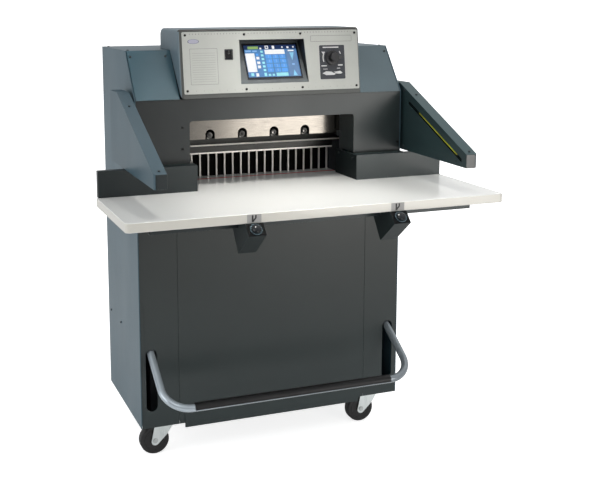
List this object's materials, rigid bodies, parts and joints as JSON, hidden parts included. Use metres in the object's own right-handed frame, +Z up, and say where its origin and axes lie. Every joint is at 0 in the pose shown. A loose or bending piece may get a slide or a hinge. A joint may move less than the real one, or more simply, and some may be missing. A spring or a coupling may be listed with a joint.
{
  "type": "programmable paper cutter",
  "caption": "Free-standing hydraulic guillotine on casters with winged table, throat, slanted-stroke knife, clamp, back gauge, tilted touch console, guard arms, cut buttons and foot treadle.",
  "frame": {"origin": "on the floor, under the middle of the whole footprint", "axes": "+Z up, +Y from the operator towards the rear table, +X to the operator's right"},
  "size_m": [1.218, 1.3, 1.428],
  "materials": {
    "body_paint": "satin blue-grey powder coat",
    "dark_paint": "satin dark grey powder coat",
    "table_finish": "smooth glossy off-white",
    "cast_frame": "painted casting",
    "hidden_steel": "plain mild steel",
    "ground_steel": "ground and polished",
    "comb_alloy": "machined",
    "motor_alloy": "die cast",
    "zinc": "zinc plated pressing",
    "panel_silver": "matt silver lacquer",
    "bezel_plastic": "satin dark grey",
    "screen_face": "glossy touch surface",
    "black_screw": "black oxide",
    "lens_yellow": "amber lens",
    "stick_red": "solid red plastic",
    "black_plastic": "fine texture",
    "black_gloss": "polished",
    "treadle_paint": "light grey gloss",
    "grip_rubber": "ribbed rubber",
    "tyre_black": "solid rubber tyre"
  },
  "bodies": {
    "machine": {"base_plate": "hidden_steel", "caster_plates": "zinc", "upright_left": "cast_frame", "upright_right": "cast_frame", "crown_beam": "cast_frame", "machine_bed": "table_finish", "front_table": "table_finish", "cutting_stick": "stick_red", "table_rails": "dark_paint", "side_panel_left": "body_paint", "side_panel_right": "body_paint", "front_panel": "body_paint", "corner_panel_left": "body_paint", "corner_panel_right": "body_paint", "kick_plate": "dark_paint", "rear_panel": "body_paint", "face_plate": "body_paint", "slope_covers": "body_paint", "top_cover": "body_paint", "console_shell": "body_paint", "control_panel": "panel_silver", "display_bezel": "bezel_plastic", "touch_screen": "screen_face", "screws": "black_screw", "side_fence_left": "body_paint", "side_fence_right": "body_paint", "arm_left": "body_paint", "arm_right": "body_paint", "arm_lenses": "lens_yellow", "button_housing_left": "dark_paint", "button_housing_right": "dark_paint", "rear_table_cover": "body_paint", "hydraulic_cylinders": "hidden_steel", "oil_tank": "dark_paint", "pump_motor": "motor_alloy", "control_box": "dark_paint", "gauge_motor": "motor_alloy", "power_inlet": "black_plastic"},
    "knife": {"knife_carrier": "ground_steel", "knife_blade": "ground_steel", "knife_bolts": "black_screw", "knife_rod": "ground_steel"},
    "clamp": {"clamp_beam": "ground_steel", "clamp_pull_frame": "ground_steel"},
    "back_gauge": {"gauge_comb": "comb_alloy"},
    "gauge_screw": {"lead_screw": "ground_steel"},
    "treadle": {"treadle_tube": "treadle_paint", "treadle_grip": "grip_rubber"},
    "button_left": {"cut_button_left": "black_gloss"},
    "button_right": {"cut_button_right": "black_gloss"},
    "dial_knob": {"knob": "black_plastic"},
    "rocker": {"rocker_switch": "black_gloss"},
    "caster_front_left": {"caster_fork_front_left": "zinc"},
    "caster_wheel_front_left": {"wheel_front_left": "tyre_black"},
    "caster_front_right": {"caster_fork_front_right": "zinc"},
    "caster_wheel_front_right": {"wheel_front_right": "tyre_black"},
    "caster_rear_left": {"caster_fork_rear_left": "zinc"},
    "caster_wheel_rear_left": {"wheel_rear_left": "tyre_black"},
    "caster_rear_right": {"caster_fork_rear_right": "zinc"},
    "caster_wheel_rear_right": {"wheel_rear_right": "tyre_black"}
  },
  "joints": [
    {"name": "knife_slide", "type": "slide", "parent": "machine", "child": "knife", "axis": [0.1758, 0, -0.9844], "range_m": [0, 0.1137]},
    {"name": "clamp_slide", "type": "slide", "parent": "machine", "child": "clamp", "axis": [0, 0, -1], "range_m": [0, 0.084]},
    {"name": "gauge_slide", "type": "slide", "parent": "machine", "child": "back_gauge", "axis": [0, 1, 0], "range_m": [0, 0.505]},
    {"name": "screw_turn", "type": "hinge", "parent": "machine", "child": "gauge_screw", "pos_m": [0, 0.297, 0.85], "axis": [0, 1, 0], "range_deg": [-9092, 0]},
    {"name": "treadle_hinge", "type": "hinge", "parent": "machine", "child": "treadle", "pos_m": [0, 0.037, 0.503], "axis": [1, 0, 0], "range_deg": [0, 15], "stiffness_Nm_per_rad": 60, "springref_deg": -20.05},
    {"name": "button_left_press", "type": "slide", "parent": "machine", "child": "button_left", "axis": [0, 0.7071, -0.7071], "range_m": [0, 0.004], "stiffness_N_per_m": 1000, "springref_m": -0.002},
    {"name": "button_right_press", "type": "slide", "parent": "machine", "child": "button_right", "axis": [0, 0.7071, -0.7071], "range_m": [0, 0.004], "stiffness_N_per_m": 1000, "springref_m": -0.002},
    {"name": "knob_turn", "type": "hinge", "parent": "machine", "child": "dial_knob", "pos_m": [0.21, -0.17805, 1.32694], "axis": [0, -0.9911, 0.1329], "range_deg": [-30, 240]},
    {"name": "rocker_tilt", "type": "hinge", "parent": "machine", "child": "rocker", "pos_m": [-0.1555, -0.1755, 1.34597], "axis": [-1, 0, 0], "range_deg": [0, 12]},
    {"name": "front_left_swivel", "type": "hinge", "parent": "machine", "child": "caster_front_left", "pos_m": [-0.385, -0.121, 0.112], "axis": [0, 0, 1], "continuous": true},
    {"name": "front_left_spin", "type": "hinge", "parent": "caster_front_left", "child": "caster_wheel_front_left", "pos_m": [-0.415, -0.121, 0.05], "axis": [0, 1, 0], "continuous": true},
    {"name": "front_right_swivel", "type": "hinge", "parent": "machine", "child": "caster_front_right", "pos_m": [0.385, -0.121, 0.112], "axis": [0, 0, 1], "continuous": true},
    {"name": "front_right_spin", "type": "hinge", "parent": "caster_front_right", "child": "caster_wheel_front_right", "pos_m": [0.355, -0.121, 0.05], "axis": [0, 1, 0], "continuous": true},
    {"name": "rear_left_swivel", "type": "hinge", "parent": "machine", "child": "caster_rear_left", "pos_m": [-0.385, 0.223, 0.112], "axis": [0, 0, 1], "continuous": true},
    {"name": "rear_left_spin", "type": "hinge", "parent": "caster_rear_left", "child": "caster_wheel_rear_left", "pos_m": [-0.355, 0.223, 0.05], "axis": [0, 1, 0], "continuous": true},
    {"name": "rear_right_swivel", "type": "hinge", "parent": "machine", "child": "caster_rear_right", "pos_m": [0.385, 0.223, 0.112], "axis": [0, 0, 1], "continuous": true},
    {"name": "rear_right_spin", "type": "hinge", "parent": "caster_rear_right", "child": "caster_wheel_rear_right", "pos_m": [0.415, 0.223, 0.05], "axis": [0, 1, 0], "continuous": true}
  ],
  "couplings": [
    {"joint": "screw_turn", "follows": "gauge_slide", "rad_per_m": -314.16}
  ]
}
